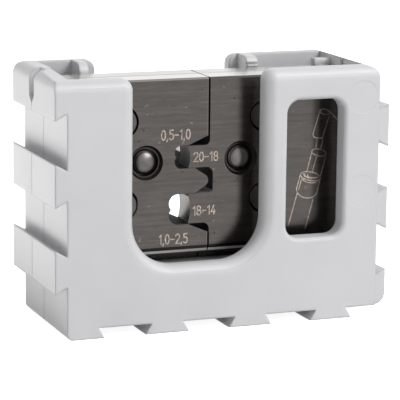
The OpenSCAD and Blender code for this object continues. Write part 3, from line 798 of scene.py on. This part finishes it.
def stage():
    """A pale floor, which looks plain white where a surface mirrors it."""
    mesh = bpy.data.meshes.new("floor")
    corners = [(x * FLOOR_SIZE, y * FLOOR_SIZE, 0) for x, y in ((-1, -1), (1, -1), (1, 1), (-1, 1))]
    mesh.from_pydata(corners, [], [(0, 1, 2, 3)])
    floor = bpy.data.objects.new("floor", mesh)
    bpy.context.scene.collection.objects.link(floor)
    material = bpy.data.materials.new("floor_white")
    material.use_nodes = True
    tree = material.node_tree
    tree.nodes.clear()
    path = tree.nodes.new("ShaderNodeLightPath").outputs
    diffuse = tree.nodes.new("ShaderNodeBsdfDiffuse")
    diffuse.inputs["Color"].default_value = (FLOOR_WHITE, FLOOR_WHITE, FLOOR_WHITE, 1.0)
    plain = tree.nodes.new("ShaderNodeEmission")
    plain.inputs["Strength"].default_value = 1.0
    glow = tree.nodes.new("ShaderNodeEmission")
    strength = math_node(tree, "MULTIPLY", path["Is Camera Ray"], FLOOR_GLOW)
    tree.links.new(strength, glow.inputs["Strength"])
    total = tree.nodes.new("ShaderNodeAddShader")
    tree.links.new(diffuse.outputs[0], total.inputs[0])
    tree.links.new(glow.outputs[0], total.inputs[1])
    mirrored = math_node(tree, "MAXIMUM", path["Is Glossy Ray"], path["Is Transmission Ray"])
    surface = mixed_shader(tree, mirrored, total.outputs[0], plain.outputs[0])
    output = tree.nodes.new("ShaderNodeOutputMaterial")
    tree.links.new(surface, output.inputs["Surface"])
    mesh.materials.append(material)


def world():
    """Soft light from all sides, which is plain white where it is seen or mirrored."""
    scene_world = bpy.data.worlds.new("studio")
    bpy.context.scene.world = scene_world
    scene_world.use_nodes = True
    tree = scene_world.node_tree
    tree.nodes.clear()
    path = tree.nodes.new("ShaderNodeLightPath").outputs
    shaders = []
    for strength in (FILL, 1.0):
        background = tree.nodes.new("ShaderNodeBackground")
        background.inputs["Color"].default_value = (1.0, 1.0, 1.0, 1.0)
        background.inputs["Strength"].default_value = strength
        shaders.append(background.outputs[0])
    seen = math_node(tree, "MAXIMUM", path["Is Camera Ray"], path["Is Glossy Ray"])
    seen = math_node(tree, "MAXIMUM", seen, path["Is Transmission Ray"])
    output = tree.nodes.new("ShaderNodeOutputWorld")
    tree.links.new(mixed_shader(tree, seen, *shaders), output.inputs["Surface"])


# Where the lamps are aimed, how far away they stand and how wide they are, in metres
LAMP_AIM = (0.0, 0.0, 0.03)
LAMP_DISTANCE = 0.9
LAMP_SIZE = 0.55

# The lit card on the table: its place and its width and depth in metres, its tint and its power
CARD_PLACE = (-0.212, 0.15, 0.001)
CARD_SIZE = (0.30, 0.36)
CARD_TINT = (1.0, 0.99, 0.965)
CARD_WATTS = 0.72


def lamp(name, shape, width, watts):
    """A flat lamp, still without its place."""
    data = bpy.data.lights.new(name, "AREA")
    data.shape = shape
    data.size = width
    data.energy = watts
    obj = bpy.data.objects.new(name, data)
    bpy.context.scene.collection.objects.link(obj)
    return obj


def softbox(name, azimuth, lift, watts, mirrored=True):
    """A square lamp aimed at the holder, turned by its azimuth from the front towards the right."""
    turn, lift = math.radians(azimuth), math.radians(lift)
    across, up = math.cos(lift), math.sin(lift)
    towards = Vector((math.sin(turn) * across, -math.cos(turn) * across, up))
    obj = lamp(name, "SQUARE", LAMP_SIZE, watts)
    obj.location = Vector(LAMP_AIM) + towards * LAMP_DISTANCE
    obj.rotation_euler = (-towards).to_track_quat("-Z", "Y").to_euler()
    obj.visible_glossy = mirrored


def low_card():
    """A lit card that lies on the table at the left and lights the left side from below."""
    obj = lamp("low_card", "RECTANGLE", CARD_SIZE[0], CARD_WATTS)
    obj.data.size_y = CARD_SIZE[1]
    obj.data.color = CARD_TINT
    obj.location = CARD_PLACE
    obj.rotation_euler = (math.pi, 0.0, 0.0)
    obj.visible_camera = False
    obj.visible_glossy = False


def lights():
    """One large lamp from the front right, with three weaker ones."""
    softbox("key", azimuth=42.0, lift=43.0, watts=6.4)
    softbox("left", azimuth=-60.0, lift=8.0, watts=0.22)
    softbox("back", azimuth=170.0, lift=25.0, watts=2.4, mirrored=False)
    low_card()


def camera():
    """The camera that was fitted to the photograph's rails and cut-outs."""
    right = Vector((0.93408726, -0.35689714, 0.01026779))
    down = Vector((-0.05946062, -0.18385042, -0.98115415))
    ahead = Vector((0.35205885, 0.91587306, -0.19295366))
    place = Vector((-0.180248, -0.468533, 0.125221))
    focal_pixels = 2214.008
    picture_pixels = 400.0
    data = bpy.data.cameras.new("camera")
    data.sensor_width = 36.0
    data.lens = data.sensor_width * focal_pixels / picture_pixels
    data.clip_start = 0.01
    data.clip_end = 20.0
    obj = bpy.data.objects.new("camera", data)
    bpy.context.scene.collection.objects.link(obj)
    turn = Matrix((right, -down, -ahead)).transposed().to_4x4()
    obj.matrix_world = Matrix.Translation(place) @ turn
    bpy.context.scene.camera = obj


bpy.context.scene.view_settings.view_transform = "Standard"
dress_nodes()
size_marks()
terminal_drawing()
stage()
world()
lights()
camera()
